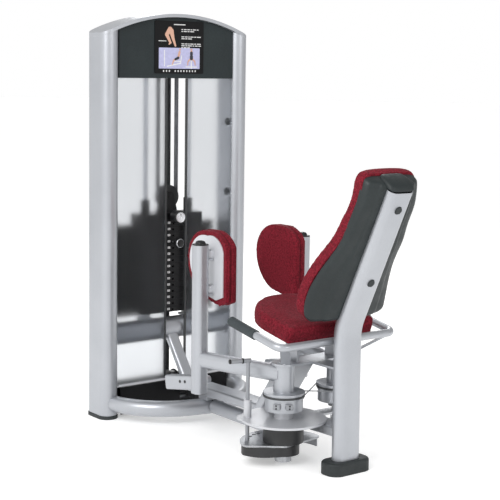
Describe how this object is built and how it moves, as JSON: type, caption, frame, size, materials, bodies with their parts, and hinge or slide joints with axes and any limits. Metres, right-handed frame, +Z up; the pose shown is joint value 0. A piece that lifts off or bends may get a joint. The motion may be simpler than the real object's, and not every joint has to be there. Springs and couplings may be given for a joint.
{
  "type": "hip abductor machine",
  "caption": "Seated hip abductor machine: a padded seat and leaning backrest, two swinging arms with leg pads on upright hubs, and a belt drive to a guided weight stack in an arched tower.",
  "frame": {"origin": "on the floor under the centre of the machine's bounding box", "axes": "+Z up; +Y from the seat towards the weight tower; +X the seated user's right"},
  "size_m": [0.706, 1.4743, 1.6069],
  "materials": {
    "frame_silver": "satin silver powder coat",
    "pad_plate_silver": "smooth light silver coat",
    "panel_frost": "frosted translucent sheet",
    "cover_dark": "dark green-grey moulded plastic, fine grain",
    "cover_black": "black moulded plastic",
    "placard_black": null,
    "stack_black": "black painted iron",
    "steel_bright": "ground and plated steel",
    "steel_grey": "zinc plated steel",
    "cam_black": "black painted steel",
    "rubber_dark": "dark rubber",
    "grip_rubber": "dark grey grip sleeve",
    "belt_black": "reinforced belt",
    "bumper_grey": "pale rubber buffer",
    "upholstery_red": "burgundy woven cover",
    "pulley_plastic": "black nylon"
  },
  "bodies": {
    "frame": {"backrest_cushion": "upholstery_red", "backrest_shell": "cover_dark", "base_cover": "cover_black", "base_crossbar": "frame_silver", "bolt_caps": "rubber_dark", "brace_strut": "frame_silver", "column_feet": "rubber_dark", "drive_belt": "belt_black", "guide_rods": "steel_bright", "handlebar": "frame_silver", "header_panel": "cover_dark", "hub_support": "frame_silver", "hub_top_plate": "frame_silver", "keel_tube": "frame_silver", "left_column": "frame_silver", "left_front_panel": "panel_frost", "left_front_tube": "frame_silver", "left_grip": "grip_rubber", "left_hub_shaft": "steel_grey", "lift_strands": "belt_black", "link_cables": "steel_grey", "placard": "placard_black", "rear_boot": "rubber_dark", "rear_cover": "cover_dark", "rear_post": "frame_silver", "resting_plates": "stack_black", "right_column": "frame_silver", "right_front_panel": "panel_frost", "right_front_tube": "frame_silver", "right_grip": "grip_rubber", "right_hub_shaft": "steel_grey", "seat_cushion": "upholstery_red", "seat_support": "frame_silver", "spine_beam": "frame_silver", "stack_beam": "frame_silver", "stack_bumpers": "bumper_grey", "top_beam": "frame_silver", "top_cap": "frame_silver"},
    "weight_stack": {"stack_head": "stack_black", "selector_rod": "steel_bright", "selected_plates": "stack_black"},
    "stack_pulley": {"stack_pulley": "pulley_plastic"},
    "top_pulley": {"top_pulley": "pulley_plastic"},
    "base_pulley": {"base_pulley": "pulley_plastic"},
    "selector_pin": {"selector_pin": "steel_bright"},
    "increment_dial": {"increment_dial": "pulley_plastic"},
    "left_arm": {"left_arm": "frame_silver", "left_foot_rest": "frame_silver", "left_pad_bracket": "frame_silver", "index_disk": "frame_silver"},
    "right_arm": {"right_arm": "frame_silver", "right_foot_rest": "frame_silver", "right_pad_bracket": "frame_silver"},
    "cam": {"belt_cam": "cam_black", "cam_plate": "steel_grey"},
    "lock_rod": {"lock_rod": "steel_bright"},
    "left_pad": {"left_pad_plate": "pad_plate_silver", "left_pad": "upholstery_red"},
    "right_pad": {"right_pad_plate": "pad_plate_silver", "right_pad": "upholstery_red"}
  },
  "joints": [
    {"name": "left_arm_swing", "type": "hinge", "parent": "frame", "child": "left_arm", "pos_m": [-0.123, -0.2818, 0.3], "axis": [0, 0, 1], "range_deg": [0, 50]},
    {"name": "right_arm_swing", "type": "hinge", "parent": "frame", "child": "right_arm", "pos_m": [0.123, -0.2818, 0.3], "axis": [0, 0, 1], "range_deg": [-50, 0]},
    {"name": "cam_turn", "type": "hinge", "parent": "frame", "child": "cam", "pos_m": [-0.123, -0.2818, 0.06], "axis": [0, 0, 1], "range_deg": [0, 50]},
    {"name": "stack_lift", "type": "slide", "parent": "frame", "child": "weight_stack", "axis": [0, 0, 1], "range_m": [0, 0.068], "deforming": ["lift_strands"]},
    {"name": "stack_pulley_turn", "type": "hinge", "parent": "weight_stack", "child": "stack_pulley", "pos_m": [0, 0.6522, 0.868], "axis": [0, 1, 0], "range_deg": [-90, 0]},
    {"name": "top_pulley_turn", "type": "hinge", "parent": "frame", "child": "top_pulley", "pos_m": [0.046, 0.6847, 1.432], "axis": [1, 0, 0], "range_deg": [-245, 0]},
    {"name": "base_pulley_turn", "type": "hinge", "parent": "frame", "child": "base_pulley", "pos_m": [0.046, 0.6792, 0.095], "axis": [1, 0, 0], "range_deg": [-210, 0]},
    {"name": "selector_pin_pull", "type": "slide", "parent": "weight_stack", "child": "selector_pin", "axis": [0, -1, 0], "range_m": [0, 0.06]},
    {"name": "increment_dial_turn", "type": "hinge", "parent": "weight_stack", "child": "increment_dial", "pos_m": [0, 0.5902, 0.791], "axis": [0, -1, 0], "range_deg": [0, 180]},
    {"name": "lock_rod_lift", "type": "slide", "parent": "left_arm", "child": "lock_rod", "axis": [0, 0, 1], "range_m": [0, 0.02], "stiffness_N_per_m": 300},
    {"name": "left_pad_swivel", "type": "hinge", "parent": "left_arm", "child": "left_pad", "pos_m": [-0.201, 0.0692, 0.65], "axis": [0, 0, 1], "range_deg": [-10, 10]},
    {"name": "right_pad_swivel", "type": "hinge", "parent": "right_arm", "child": "right_pad", "pos_m": [0.201, 0.0692, 0.65], "axis": [0, 0, 1], "range_deg": [-10, 10]}
  ],
  "couplings": [
    {"joint": "right_arm_swing", "follows": "left_arm_swing", "ratio": -1},
    {"joint": "cam_turn", "follows": "left_arm_swing", "ratio": 1},
    {"joint": "stack_lift", "follows": "left_arm_swing", "m_per_rad": 0.0775},
    {"joint": "stack_pulley_turn", "follows": "left_arm_swing", "ratio": -1.6848},
    {"joint": "top_pulley_turn", "follows": "left_arm_swing", "ratio": -4.7692},
    {"joint": "base_pulley_turn", "follows": "left_arm_swing", "ratio": -4.0789}
  ]
}
